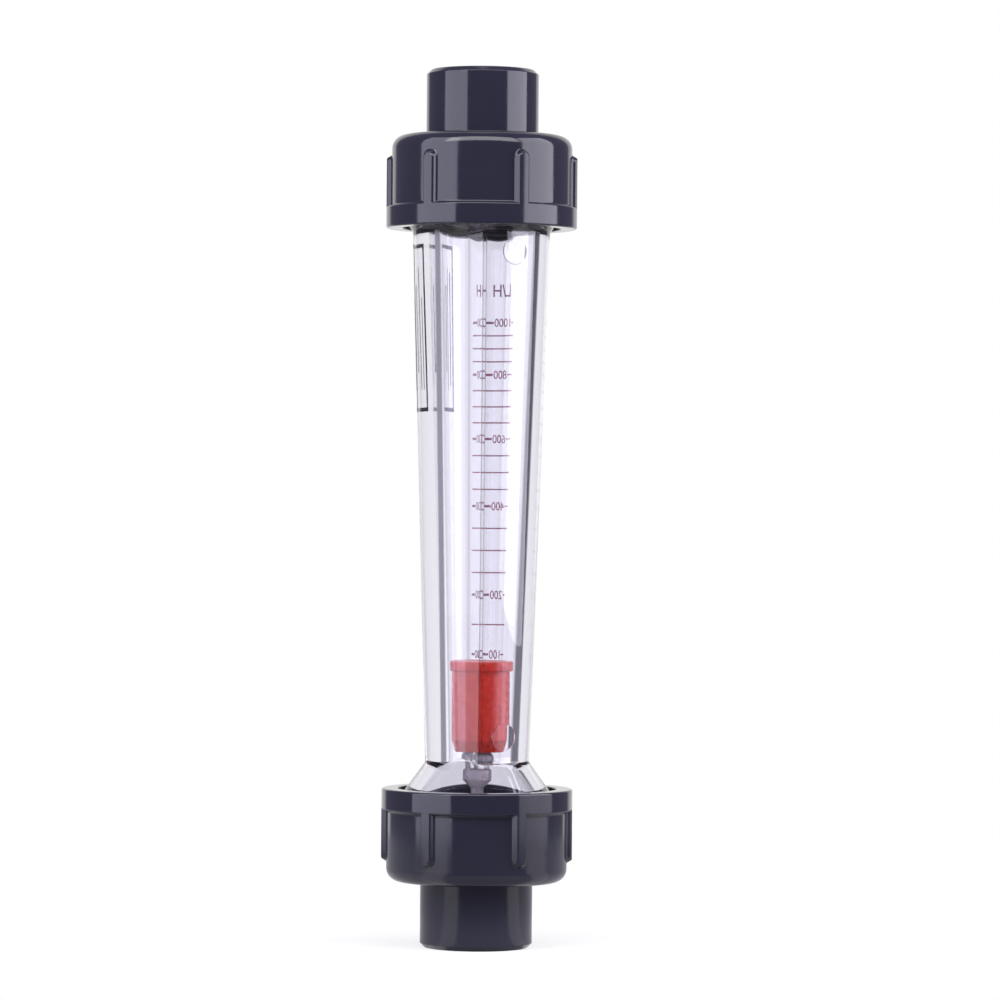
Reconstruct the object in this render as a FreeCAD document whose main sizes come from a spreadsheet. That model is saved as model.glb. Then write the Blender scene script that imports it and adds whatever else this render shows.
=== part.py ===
"""Rotameter: a clear tapered flow tube with a float, held between two union ends by union nuts.

Millimetres. The axis is +Z through the origin, which lies at the centre of the lower end. Azimuths run
from the front (-Y) towards +X. Driving sizes are in the sheet "Sizes"; every feature is bound to them.
"""

import FreeCAD, Part

import os
import re

import Sketcher
from FreeCAD import Placement, Rotation, Vector

doc = FreeCAD.newDocument("Rotameter")

DRIVING_SIZES = {
    "overall_length": 200.0,
    # union ends
    "spigot_radius": 12.8,
    "spigot_reach": 15.0,
    "spigot_chamfer": 1.0,
    "pipe_radius": 10.0,
    "pipe_clearance": 0.05,
    "socket_depth": 16.0,
    "socket_lead": 0.6,
    "flow_radius": 7.5,
    "flange_radius": 16.6,
    "flange_thickness": 3.8,
    # union nuts
    "nut_length": 21.2,
    "nut_radius": 20.6,
    "nut_wall": 3.5,
    "nut_edge_round": 3.0,
    "nut_bore_gap": 0.3,
    "rim_radius": 21.8,
    "rim_height": 4.9,
    "rim_chamfer": 0.5,
    "mouth_radius": 18.05,
    "rib_count": 6,
    "rib_width": 3.8,
    "rib_top_width": 1.9,
    "rib_inset": 4.2,
    "lower_nut_turn": 24.7,
    "upper_nut_turn": 22.7,
    # thread between nut and tube, as level ridges
    "thread_radius": 17.7,
    "thread_height": 0.8,
    "thread_bite": 0.5,
    "thread_pitch": 3.0,
    "thread_crest": 1.0,
    "thread_root": 1.8,
    "thread_start": 2.6,
    # metering tube
    "wall_radius_low": 11.36,
    "wall_radius_high": 16.03,
    "flat_turn": -21.5,
    "flat_half_angle": 21.4,
    "flare_angle": 36.0,
    "flare_mouth_radius": 16.2,
    "flare_radius_low": 10.6,
    "flare_radius_high": 14.0,
    "flare_wall": 3.1,
    "end_bore_radius": 13.4,
    "bore_radius_low": 9.5,
    "bore_radius_high": 12.7,
    "bore_straight_low": 21.7,
    "bore_straight_high": 11.7,
    "seat_depth": 4.0,
    "seat_step": 0.5,
    "disc_radius": 3.0,
    "disc_azimuth": 47.9,
    "disc_rise": 0.1,
    "disc_root": 0.8,
    "disc_inset_low": 26.1,
    "disc_inset_high": 19.6,
    # seals
    "seal_radius": 15.05,
    "seal_width": 1.7,
    "seal_height": 1.2,
    "seal_gap": 0.1,
    # stops
    "stop_gap": 0.05,
    "stop_ring_width": 1.9,
    "stop_ring_height": 3.0,
    "spoke_count": 3,
    "spoke_width": 1.6,
    "stem_radius": 1.5,
    "hub_radius": 3.3,
    "hub_height": 2.6,
    "prong_radius": 0.6,
    "prong_circle": 2.45,
    "prong_length": 3.2,
    "ball_radius": 1.5,
    "lower_stop_height": 22.4,
    "upper_stop_height": 12.0,
    # float
    "float_height": 20.6,
    "float_radius": 8.4,
    "float_foot_radius": 6.9,
    "float_foot_height": 2.8,
    "float_rim_radius": 9.2,
    "float_rim_height": 2.2,
    "float_edge": 0.3,
    "float_floor": 2.5,
    "weight_radius": 5.4,
    "weight_gap": 0.05,
    "cap_thickness": 1.6,
    "cap_margin": 0.9,
}

# heights above a piece's own lower end, as expressions over the sheet
TUBE_END = "(spigot_reach + nut_wall + flange_thickness)"
TUBE_LENGTH = f"(overall_length - 2 * {TUBE_END})"
NUT_MOUTH_Z = "(spigot_reach + nut_length)"
THREAD_ROOT = "(thread_radius - thread_height)"
NUT_CREST = "(thread_radius - thread_bite)"
SEAT_RADIUS_LOW = "(end_bore_radius + seat_step)"
SEAT_RADIUS_HIGH = "(bore_radius_high + seat_step)"
# inside of the lower flare where it passes the nut's mouth, a wall's thickness from its outside
FLARE_INSIDE = "(flare_mouth_radius - flare_wall / cos(flare_angle))"
# plane, this far from the axis, where the chord under a rib's foot is as wide as the rib
RIB_FACE = "nut_radius * cos(asin(rib_width / 2 / nut_radius))"
RIB_REACH = f"(rim_radius - {RIB_FACE})"
THREAD_RIDGES = 3
SAME_PLACE = 1e-4
FLOAT_FOOT_Z = f"({TUBE_END} + lower_stop_height)"

sheet = doc.addObject("Spreadsheet::Sheet", "Sizes")
for row, (alias, value) in enumerate(DRIVING_SIZES.items(), start=1):
    sheet.set(f"A{row}", alias)
    sheet.set(f"B{row}", str(value))
    sheet.setAlias(f"B{row}", alias)
doc.recompute()


def bound(text):
    """The expression with each size's name pointed at the sheet."""
    return re.sub(r"\b([a-z]+(?:_[a-z]+)+)\b", r"Sizes.\1", str(text))


def value_of(text):
    """The number that an expression over the sheet gives now."""
    return float(sheet.evalExpression(bound(text)))


def new_body(label, base="0", turn="0", flipped=False):
    """A body for one piece. flipped turns it end for end, so that it hangs down from base."""
    body = doc.addObject("PartDesign::Body", label)
    body.Label = label
    flip = Rotation(Vector(1, 0, 0), 180 if flipped else 0)
    body.Placement = Placement(Vector(), Rotation(Vector(0, 0, 1), value_of(turn)) * flip)
    body.setExpression("Placement.Base.z", bound(base))
    return body


def plane(body, role):
    return next(item for item in body.Origin.OriginFeatures if item.Role == role)


def new_sketch(body, name, role, offset=None):
    sketch = body.newObject("Sketcher::SketchObject", name)
    sketch.AttachmentSupport = [(plane(body, role), "")]
    sketch.MapMode = "FlatFace"
    if offset is not None:
        sketch.setExpression("AttachmentOffset.Base.z", bound(offset))
    return sketch


def pin_point(sketch, geometry, end, across, along):
    """Holds one point of the sketch at two expressions, measured from the sketch's origin."""
    for kind, text in (("DistanceX", across), ("DistanceY", along)):
        number = value_of(text)
        index = sketch.addConstraint(Sketcher.Constraint(kind, -1, 1, geometry, end, number))
        sketch.setExpression(f"Constraints[{index}]", bound(text))


def outline(sketch, points):
    """A closed outline of straight edges through points, each given as two expressions."""
    corners = [Vector(value_of(x), value_of(y), 0) for x, y in points]
    first = sketch.GeometryCount
    for corner, following in zip(corners, corners[1:] + corners[:1]):
        sketch.addGeometry(Part.LineSegment(corner, following), False)
    for index in range(len(points)):
        after = first + (index + 1) % len(points)
        sketch.addConstraint(Sketcher.Constraint("Coincident", first + index, 2, after, 1))
    for index, (x, y) in enumerate(points):
        pin_point(sketch, first + index, 1, x, y)


def turned(body, name, points, kind="PartDesign::Revolution"):
    """A full turn of an outline, given as (radius, height) pairs, about the body's Z axis."""
    sketch = new_sketch(body, f"{name}_profile", "XZ_Plane")
    outline(sketch, points)
    feature = body.newObject(kind, name)
    feature.Profile = sketch
    feature.ReferenceAxis = (plane(body, "Z_Axis"), [""])
    feature.Angle = 360
    doc.recompute()
    return feature


def patterned(body, name, feature, count):
    """Copies of a feature, evenly spaced round the body's Z axis."""
    pattern = body.newObject("PartDesign::PolarPattern", name)
    pattern.Originals = [feature]
    pattern.Axis = (plane(body, "Z_Axis"), [""])
    pattern.Angle = 360
    pattern.setExpression("Occurrences", bound(count))
    body.Tip = pattern
    doc.recompute()
    return pattern


def union_end(label, base="0", flipped=False):
    """Spigot with a pipe socket outside and, inside its nut, a flange with a face groove for the seal."""
    body = new_body(label, base, flipped=flipped)
    socket = "pipe_radius + pipe_clearance"
    shoulder = "spigot_reach + nut_wall"
    groove = f"{TUBE_END} - seal_height"
    turned(body, "end_turning", [
        (f"{socket} + socket_lead", 0),
        ("spigot_radius - spigot_chamfer", 0),
        ("spigot_radius", "spigot_chamfer"),
        ("spigot_radius", shoulder),
        ("flange_radius", shoulder),
        ("flange_radius", TUBE_END),
        ("seal_radius + seal_width / 2", TUBE_END),
        ("seal_radius + seal_width / 2", groove),
        ("seal_radius - seal_width / 2", groove),
        ("seal_radius - seal_width / 2", TUBE_END),
        ("flow_radius", TUBE_END),
        ("flow_radius", "socket_depth"),
        (socket, "socket_depth"),
        (socket, "socket_lead"),
    ])
    return body


def ridge_outline(height, root_radius, crest_radius):
    """Four corners of one level thread ridge, from its lower root corner up."""
    return [
        (root_radius, f"{height} - thread_root / 2"),
        (crest_radius, f"{height} - thread_crest / 2"),
        (crest_radius, f"{height} + thread_crest / 2"),
        (root_radius, f"{height} + thread_root / 2"),
    ]


def union_nut(label, turn, base="0", flipped=False):
    """Ribbed nut: an end wall that pulls the union end's flange, and level ridges that grip the tube."""
    body = new_body(label, base, turn, flipped)
    nut_root = "(thread_radius + thread_height - thread_bite)"
    wall_top = "(spigot_reach + nut_wall)"
    rim_foot = f"{NUT_MOUTH_Z} - rim_height"
    bore = "spigot_radius + nut_bore_gap"
    ridges = []
    for count in reversed(range(THREAD_RIDGES)):
        height = f"({TUBE_END} + thread_start + {count + 0.5} * thread_pitch)"
        ridges += reversed(ridge_outline(height, nut_root, NUT_CREST))
    blank = turned(body, "nut_turning", [
        (bore, "spigot_reach"),
        ("nut_radius", "spigot_reach"),
        ("nut_radius", rim_foot),
        ("rim_radius - rim_chamfer", rim_foot),
        ("rim_radius", f"{rim_foot} + rim_chamfer"),
        ("rim_radius", f"{NUT_MOUTH_Z} - rim_chamfer"),
        ("rim_radius - rim_chamfer", NUT_MOUTH_Z),
        ("mouth_radius", NUT_MOUTH_Z),
        *ridges,
        (nut_root, wall_top),
        (bore, wall_top),
    ])
    edge = body.newObject("PartDesign::Fillet", "nut_edge")
    edge.Base = (blank, circle_edges(blank.Shape, "nut_radius", "spigot_reach"))
    edge.setExpression("Radius", bound("nut_edge_round"))
    doc.recompute()
    patterned(body, "nut_ribs", nut_rib(body), "rib_count")
    return body


def circle_edges(shape, radius, height):
    """Names of the circular edges with this radius whose centre is at this height on the axis."""
    names = []
    for number, edge in enumerate(shape.Edges, start=1):
        if not isinstance(edge.Curve, Part.Circle):
            continue
        same_radius = abs(edge.Curve.Radius - value_of(radius)) < SAME_PLACE
        if same_radius and abs(edge.Curve.Center.z - value_of(height)) < SAME_PLACE:
            names.append(f"Edge{number}")
    return names


def nut_rib(body):
    """One rib: a slot-shaped foot on the front of the nut, padded outward with sloping flanks."""
    sketch = new_sketch(body, "rib_foot", "XZ_Plane", offset=RIB_FACE)
    half = "(rib_width / 2)"
    low = f"(spigot_reach + rib_inset + {half})"
    high = f"({NUT_MOUTH_Z} - rim_height / 2)"
    width, bottom, top = value_of(half), value_of(low), value_of(high)
    corners = [
        Vector(-width, bottom, 0),
        Vector(-width, top, 0),
        Vector(width, top, 0),
        Vector(width, bottom, 0),
    ]
    for corner, following in zip(corners, corners[1:]):
        sketch.addGeometry(Part.LineSegment(corner, following), False)
    sketch.addGeometry(Part.Arc(corners[3], Vector(0, bottom - width, 0), corners[0]), False)
    for index in range(2):
        sketch.addConstraint(Sketcher.Constraint("Coincident", index, 2, index + 1, 1))
    pin_point(sketch, 0, 1, f"-{half}", low)
    pin_point(sketch, 0, 2, f"-{half}", high)
    pin_point(sketch, 2, 1, half, high)
    pin_point(sketch, 2, 2, half, low)
    pin_point(sketch, 3, 3, 0, low)
    sketch.addConstraint(Sketcher.Constraint("Coincident", 3, 1, 0, 1))
    rib = body.newObject("PartDesign::Pad", "nut_rib")
    rib.Profile = sketch
    rib.setExpression("Length", bound(RIB_REACH))
    rib.setExpression("TaperAngle", bound(f"-atan((rib_width - rib_top_width) / 2 / {RIB_REACH})"))
    doc.recompute()
    return rib


def wall_radius(height):
    """The flow tube's outer radius at a height above its lower face."""
    taper = f"(wall_radius_high - wall_radius_low) / ({TUBE_LENGTH} - 2 * thread_start)"
    return f"(wall_radius_low + ({height} - thread_start) * {taper})"


def tube_end_profile(bore, flare_radius):
    """Outside of one round tube end, from its face up: thread ridges, then the flare into the flats."""
    mouth = f"({NUT_MOUTH_Z} - {TUBE_END})"
    flare_top = f"({mouth} + (flare_mouth_radius - {flare_radius}) / tan(flare_angle))"
    flare_foot = f"({mouth} - ({THREAD_ROOT} - flare_mouth_radius) / tan(flare_angle))"
    points = [(bore, 0), (THREAD_ROOT, 0)]
    for count in range(THREAD_RIDGES):
        points += ridge_outline(f"(thread_start + {count} * thread_pitch)", THREAD_ROOT, "thread_radius")
    return points + [(THREAD_ROOT, flare_foot), (flare_radius, flare_top), (bore, flare_top)]


def metering_tube():
    """Clear tube that widens upward, with two opposite flats, flared threaded ends and stop seats."""
    body = new_body("metering_tube", TUBE_END, "flat_turn")
    mouth = f"({NUT_MOUTH_Z} - {TUBE_END})"
    neck_foot, neck_top = (
        f"({mouth} + ({FLARE_INSIDE} - {radius}) / tan(flare_angle))"
        for radius in ("end_bore_radius", "bore_radius_low")
    )
    low, high = "thread_start", f"({TUBE_LENGTH} - thread_start)"
    turned(body, "wall", [(0, low), ("wall_radius_low", low), ("wall_radius_high", high), (0, high)])
    patterned(body, "flats", tube_flat(body, low, high), 2)
    core = "bore_radius_low"
    turned(body, "lower_end", tube_end_profile(core, "flare_radius_low"))
    upper = [(r, f"{TUBE_LENGTH} - {z}") for r, z in tube_end_profile(core, "flare_radius_high")]
    turned(body, "upper_end", upper[::-1])
    turned(body, "bore", [
        (0, 0),
        (SEAT_RADIUS_LOW, 0),
        (SEAT_RADIUS_LOW, "seat_depth"),
        ("end_bore_radius", "seat_depth"),
        ("end_bore_radius", neck_foot),
        ("bore_radius_low", neck_top),
        ("bore_radius_low", "bore_straight_low"),
        ("bore_radius_high", f"{TUBE_LENGTH} - bore_straight_high"),
        ("bore_radius_high", f"{TUBE_LENGTH} - seat_depth"),
        (SEAT_RADIUS_HIGH, f"{TUBE_LENGTH} - seat_depth"),
        (SEAT_RADIUS_HIGH, TUBE_LENGTH),
        (0, TUBE_LENGTH),
    ], "PartDesign::Groove")
    for name, height in (("low", "disc_inset_low"), ("high", f"({TUBE_LENGTH} - disc_inset_high)")):
        raised_disc(body, f"disc_{name}", height)
    return body


def tube_flat(body, low, high):
    """Shaves one flat, which keeps the same share of the wall's circle all the way up."""
    sketch = new_sketch(body, "flat_side", "YZ_Plane")
    outline(sketch, [
        ("-wall_radius_low * cos(flat_half_angle)", low),
        ("-wall_radius_high * cos(flat_half_angle)", high),
        ("-nut_radius", high),
        ("-nut_radius", low),
    ])
    flat = body.newObject("PartDesign::Pocket", "flat")
    flat.Profile = sketch
    flat.SideType = "Symmetric"
    flat.setExpression("Length", bound("2 * nut_radius"))
    doc.recompute()
    return flat


def raised_disc(body, name, height):
    """A plain round pad on the round wall beside a flat."""
    reach = wall_radius(height)
    lean = f"atan(({wall_radius(TUBE_LENGTH)} - {wall_radius(0)}) / {TUBE_LENGTH})"
    sketch = body.newObject("Sketcher::SketchObject", f"{name}_edge")
    sketch.AttachmentSupport = [(plane(body, "XY_Plane"), "")]
    sketch.MapMode = "FlatFace"
    sketch.AttachmentOffset = facing_out(value_of("disc_azimuth"), value_of(lean))
    sketch.setExpression("AttachmentOffset.Base.x", bound(f"{reach} * sin(disc_azimuth)"))
    sketch.setExpression("AttachmentOffset.Base.y", bound(f"-{reach} * cos(disc_azimuth)"))
    sketch.setExpression("AttachmentOffset.Base.z", bound(height))
    sketch.addGeometry(Part.Circle(Vector(), Vector(0, 0, 1), value_of("disc_radius")), False)
    sketch.addConstraint(Sketcher.Constraint("Coincident", 0, 3, -1, 1))
    index = sketch.addConstraint(Sketcher.Constraint("Radius", 0, value_of("disc_radius")))
    sketch.setExpression(f"Constraints[{index}]", bound("disc_radius"))
    disc = body.newObject("PartDesign::Pad", name)
    disc.Profile = sketch
    disc.setExpression("Length", bound("disc_rise"))
    disc.setExpression("Length2", bound("disc_root"))
    disc.SideType = "Two sides"
    doc.recompute()


def facing_out(azimuth, lean):
    """Turns +Z to the outward normal of a wall at an azimuth, where the wall leans outward going up."""
    stand = Rotation(Vector(1, 0, 0), 90 + lean)
    return Placement(Vector(), Rotation(Vector(0, 0, 1), azimuth) * stand)


def seal_ring(label, base="0", flipped=False):
    """O-ring, squeezed flat between its groove's floor and the tube's end face."""
    body = new_body(label, base, flipped=flipped)
    ring = "(seal_width / 2 - seal_gap)"
    bulge = "(seal_width / 2 - seal_gap - seal_height / 4)"
    low = f"({TUBE_END} - seal_height)"
    turned(body, "ring_turning", [
        (f"seal_radius - {bulge}", low),
        (f"seal_radius + {bulge}", low),
        (f"seal_radius + {ring}", f"{low} + seal_height / 3"),
        (f"seal_radius + {ring}", f"{low} + seal_height * 2 / 3"),
        (f"seal_radius + {bulge}", TUBE_END),
        (f"seal_radius - {bulge}", TUBE_END),
        (f"seal_radius - {ring}", f"{low} + seal_height * 2 / 3"),
        (f"seal_radius - {ring}", f"{low} + seal_height / 3"),
    ])
    return body


def float_stop(label, seat_radius, reach, base, flipped=False):
    """Spider stop: a ring in the tube's seat, spokes, a stem, and three upright prongs with ball ends."""
    body = new_body(label, base, flipped=flipped)
    rim = f"({seat_radius} - stop_gap)"
    turned(body, "stop_ring", [
        (f"{rim} - stop_ring_width", 0),
        (rim, 0),
        (rim, "stop_ring_height"),
        (f"{rim} - stop_ring_width", "stop_ring_height"),
    ])
    hub_foot = f"({reach} - ball_radius - prong_length - hub_height)"
    turned(body, "stop_stem", [
        (0, 0),
        ("stem_radius", 0),
        ("stem_radius", f"{hub_foot} - hub_radius + stem_radius"),
        ("hub_radius", hub_foot),
        ("hub_radius", f"{hub_foot} + hub_height"),
        (0, f"{hub_foot} + hub_height"),
    ])
    spoke = body.newObject("PartDesign::Pad", "spoke")
    spoke.Profile = new_sketch(body, "spoke_plan", "XY_Plane")
    outline(spoke.Profile[0], [
        ("-spoke_width / 2", 0),
        ("spoke_width / 2", 0),
        ("spoke_width / 2", f"{rim} - stop_ring_width / 2"),
        ("-spoke_width / 2", f"{rim} - stop_ring_width / 2"),
    ])
    spoke.setExpression("Length", bound("stop_ring_height"))
    doc.recompute()
    patterned(body, "spokes", spoke, "spoke_count")
    patterned(body, "prongs", stop_prong(body, f"{hub_foot} + hub_height / 2", reach), "spoke_count")
    return body


def stop_prong(body, foot, reach):
    """One prong and its ball, turned about the prong's own upright line."""
    sketch = new_sketch(body, "prong_profile", "XZ_Plane")
    low, centre, top = foot, f"({reach} - ball_radius)", reach
    neck = f"({centre} - sqrt(ball_radius ^ 2 - prong_radius ^ 2))"
    line = "prong_circle"
    side = f"{line} + prong_radius"
    corners = [(line, top), (line, low), (side, low), (side, neck)]
    points = [Vector(value_of(x), value_of(y), 0) for x, y in corners]
    for start, end in zip(points, points[1:]):
        sketch.addGeometry(Part.LineSegment(start, end), False)
    middle = Vector(value_of(f"{line} + ball_radius"), value_of(centre), 0)
    sketch.addGeometry(Part.Arc(points[3], middle, points[0]), False)
    for index in range(2):
        sketch.addConstraint(Sketcher.Constraint("Coincident", index, 2, index + 1, 1))
    sketch.addConstraint(Sketcher.Constraint("Coincident", 2, 2, 3, 1))
    sketch.addConstraint(Sketcher.Constraint("Coincident", 3, 2, 0, 1))
    pin_point(sketch, 0, 1, line, top)
    pin_point(sketch, 1, 1, line, low)
    pin_point(sketch, 2, 1, side, low)
    pin_point(sketch, 3, 1, side, neck)
    sketch.addConstraint(Sketcher.Constraint("DistanceY", -1, 1, 3, 3, value_of(centre)))
    sketch.setExpression(f"Constraints[{sketch.ConstraintCount - 1}]", bound(centre))
    prong = body.newObject("PartDesign::Revolution", "prong")
    prong.Profile = sketch
    prong.ReferenceAxis = (sketch, ["Edge1"])
    prong.Angle = 360
    doc.recompute()
    return prong


def float_pieces():
    """The float in three pieces: a rimmed cup, a weight inside it, and a flush cap."""
    cap_foot = "(float_height - cap_thickness)"
    cap_radius = "(weight_radius + weight_gap + cap_margin)"
    cup = new_body("float_body", FLOAT_FOOT_Z)
    turned(cup, "cup_turning", [
        (0, 0),
        ("float_foot_radius", 0),
        ("float_radius", "float_foot_height"),
        ("float_radius", "float_height - float_rim_height"),
        ("float_rim_radius - float_edge", "float_height - float_rim_height"),
        ("float_rim_radius", "float_height - float_rim_height + float_edge"),
        ("float_rim_radius", "float_height - float_edge"),
        ("float_rim_radius - float_edge", "float_height"),
        (f"{cap_radius} + weight_gap", "float_height"),
        (f"{cap_radius} + weight_gap", cap_foot),
        ("weight_radius + weight_gap", cap_foot),
        ("weight_radius + weight_gap", "float_floor"),
        (0, "float_floor"),
    ])
    weight = new_body("float_weight", f"{FLOAT_FOOT_Z} + float_floor")
    turned(weight, "weight_turning", [
        (0, 0),
        ("weight_radius", 0),
        ("weight_radius", f"{cap_foot} - float_floor"),
        (0, f"{cap_foot} - float_floor"),
    ])
    cap = new_body("float_cap", f"{FLOAT_FOOT_Z} + {cap_foot}")
    turned(cap, "cap_turning", [
        (0, 0),
        (cap_radius, 0),
        (cap_radius, "cap_thickness"),
        (0, "cap_thickness"),
    ])
    return [cup, weight, cap]


def check_document():
    """Stops the build at any object that did not recompute cleanly."""
    doc.recompute()
    for item in doc.Objects:
        if {"Invalid", "Error"} & set(item.State):
            raise RuntimeError(f"{item.Name} did not recompute: {item.State}")


def write_pieces(pieces):
    os.makedirs("parts", exist_ok=True)
    for piece in pieces:
        shape = piece.Shape
        if shape.isNull() or not shape.isValid():
            raise RuntimeError(f"{piece.Label} has no sound shape")
        shape.exportStep(f"parts/{piece.Label}.step")


TOP = "overall_length"
pieces = [
    union_end("lower_union_end"),
    union_end("upper_union_end", TOP, flipped=True),
    union_nut("lower_union_nut", "lower_nut_turn"),
    union_nut("upper_union_nut", "upper_nut_turn", TOP, flipped=True),
    metering_tube(),
    seal_ring("lower_o_ring"),
    seal_ring("upper_o_ring", TOP, flipped=True),
    float_stop("lower_stop", SEAT_RADIUS_LOW, "lower_stop_height", TUBE_END),
    float_stop("upper_stop", SEAT_RADIUS_HIGH, "upper_stop_height", f"{TOP} - {TUBE_END}", flipped=True),
    *float_pieces(),
]
check_document()
write_pieces(pieces)
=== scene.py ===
"""Looks of the rotameter: clear tube, red float, stops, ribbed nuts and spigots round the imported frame.

Metres. The frame's axis is +Z through the origin and its front is -Y. An azimuth runs from the front
towards +X, as in the frame's own description.
"""

import math

import bmesh
import bpy
from mathutils import Matrix, Vector


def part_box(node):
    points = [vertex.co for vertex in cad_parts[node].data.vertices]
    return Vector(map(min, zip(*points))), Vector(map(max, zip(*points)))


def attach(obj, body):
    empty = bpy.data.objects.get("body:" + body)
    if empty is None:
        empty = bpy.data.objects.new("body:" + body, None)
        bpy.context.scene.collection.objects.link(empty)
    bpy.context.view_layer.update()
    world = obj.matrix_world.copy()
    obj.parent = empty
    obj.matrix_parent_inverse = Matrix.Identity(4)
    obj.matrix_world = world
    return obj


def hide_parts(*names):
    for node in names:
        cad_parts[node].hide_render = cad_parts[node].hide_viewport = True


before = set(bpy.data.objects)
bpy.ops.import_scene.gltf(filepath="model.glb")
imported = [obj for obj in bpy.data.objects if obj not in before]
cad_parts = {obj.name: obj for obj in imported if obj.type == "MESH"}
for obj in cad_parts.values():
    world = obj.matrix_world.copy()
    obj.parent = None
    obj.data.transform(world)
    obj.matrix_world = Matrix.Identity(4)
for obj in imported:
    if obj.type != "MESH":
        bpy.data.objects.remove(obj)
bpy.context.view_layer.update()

MM = 0.001

# ---------------------------------------------------------------- sizes and places, from the frame
TUBE_LOW, TUBE_HIGH = (corner.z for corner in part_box("metering_tube"))
FLOAT_LOW, FLOAT_HIGH = (corner.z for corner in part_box("float_body"))
LOWER_STOP_LOW, LOWER_STOP_TIP = (corner.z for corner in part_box("lower_stop"))
UPPER_STOP_TIP, UPPER_STOP_HIGH = (corner.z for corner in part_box("upper_stop"))
END_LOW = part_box("lower_union_end")[0].z
END_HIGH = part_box("upper_union_end")[1].z
NUT_REACH, NUT_MOUTH = (corner.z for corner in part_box("lower_union_nut"))

# metering tube
WALL_LOW = 11.36 * MM
WALL_HIGH = 16.03 * MM
WALL_INSET = 2.6 * MM
FLAT_AZIMUTH = math.radians(-21.5)
FLAT_HALF_ANGLE = math.radians(21.4)
FLAT_EDGE_EASE = 0.03 * MM
LAND_DEPTH = 0.0756 * MM
STEEPEST_COSINE = 0.2  # keeps a flat's plane finite where it runs alongside the direction
BORE_LOW = 8.0 * MM
BORE_HIGH = 12.25 * MM
BORE_STRAIGHT_LOW = 21.7 * MM
BORE_STRAIGHT_HIGH = 11.7 * MM
SEAT_DEPTH = 4.0 * MM
SEAT_LOW = 13.9 * MM
END_BORE = 13.4 * MM
FLARE_WALL = 3.1 * MM
SEAT_HIGH = 13.2 * MM
THREAD_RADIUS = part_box("metering_tube")[1].x
THREAD_ROOT = THREAD_RADIUS - 0.8 * MM
THREAD_PITCH = 3.0 * MM
THREAD_START = 2.6 * MM
THREAD_RIDGES = 3
RIDGE_FOOT = 1.8 * MM
RIDGE_CREST = 1.0 * MM
FLARE_RADIUS = 16.2 * MM
FLARE_SLOPE = math.tan(math.radians(36.0))
DISC_RADIUS = 3.0 * MM
DISC_AZIMUTH = FLAT_AZIMUTH + math.radians(47.9)
DISC_RISE = 0.1 * MM
DISC_ROOT = 0.8 * MM
DISC_HEIGHTS = (26.1 * MM, 155.4 * MM - 19.6 * MM)


def direction(azimuth):
    return Vector((math.sin(azimuth), -math.cos(azimuth), 0.0))


def between(low, high, share):
    return low + (high - low) * share


def wall_radius(z):
    """Outer radius of the tube's round wall at a height."""
    low, high = TUBE_LOW + WALL_INSET, TUBE_HIGH - WALL_INSET
    return between(WALL_LOW, WALL_HIGH, (z - low) / (high - low))


def eased_minimum(a, b, blend):
    return (a + b - math.hypot(a - b, blend)) / 2


def eased_maximum(a, b, blend):
    return (a + b + math.hypot(a - b, blend)) / 2


def wall_reach(azimuth, z):
    """Distance of the tube's outside from the axis.

    The wall is round with two opposite flats, and a narrow land between each flat and the round.
    """
    radius = wall_radius(z)
    swing = abs((azimuth - FLAT_AZIMUTH + math.pi / 2) % math.pi - math.pi / 2)
    flat = radius * math.cos(FLAT_HALF_ANGLE) / max(math.cos(swing), STEEPEST_COSINE)
    land_turn = FLAT_HALF_ANGLE / 2
    land = (radius * math.cos(land_turn) - LAND_DEPTH) / max(math.cos(swing - land_turn), STEEPEST_COSINE)
    return eased_minimum(eased_minimum(radius, land, FLAT_EDGE_EASE), flat, FLAT_EDGE_EASE)


# ---------------------------------------------------------------- mesh helpers
def add_piece(name, vertices, faces, material, body, slot, replaced=()):
    mesh = bpy.data.meshes.new(name)
    mesh.from_pydata([tuple(v) for v in vertices], [], faces)
    mesh.validate()
    piece = bpy.data.objects.new(name, mesh)
    bpy.context.scene.collection.objects.link(piece)
    mesh.materials.append(material)
    finish_piece(piece, body, replaced)
    return piece


def finish_piece(piece, body, replaced=()):
    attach(piece, body)
    if replaced:
        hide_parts(*replaced)


def smooth(piece, angle=35.0):
    """Smooth shading that keeps corners sharper than the angle, with flats that shade flat."""
    piece.data.shade_smooth()
    piece.data.set_sharp_from_angle(angle=math.radians(angle))
    weighted = piece.modifiers.new("weighted", "WEIGHTED_NORMAL")
    weighted.keep_sharp = True
    weighted.weight = 100


def soften(points, steps=5):
    """Rounds a closed outline's corners. Each point is (radius, height) or (radius, height, rounding)."""
    rounded = []
    count = len(points)
    for index, point in enumerate(points):
        here = Vector(point[:2])
        rounding = point[2] if len(point) > 2 else 0.0
        if rounding <= 0:
            rounded.append((here.x, here.y))
            continue
        back = (Vector(points[index - 1][:2]) - here).normalized()
        ahead = (Vector(points[(index + 1) % count][:2]) - here).normalized()
        half = math.acos(max(-1.0, min(1.0, back.dot(ahead)))) / 2
        reach = rounding / math.tan(half)
        centre = here + (back + ahead).normalized() * rounding / math.sin(half)
        start, end = here + back * reach - centre, here + ahead * reach - centre
        turn = start.angle_signed(end)
        for step in range(steps + 1):
            swing = Matrix.Rotation(-turn * step / steps, 2)
            spot = centre + swing @ start
            rounded.append((spot.x, spot.y))
    return rounded


def grid_faces(rings, around, closed=False):
    faces = []
    for ring in range(rings if closed else rings - 1):
        following = (ring + 1) % rings
        for spot in range(around):
            after = (spot + 1) % around
            faces.append((ring * around + spot, ring * around + after,
                          following * around + after, following * around + spot))
    return faces


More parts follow.
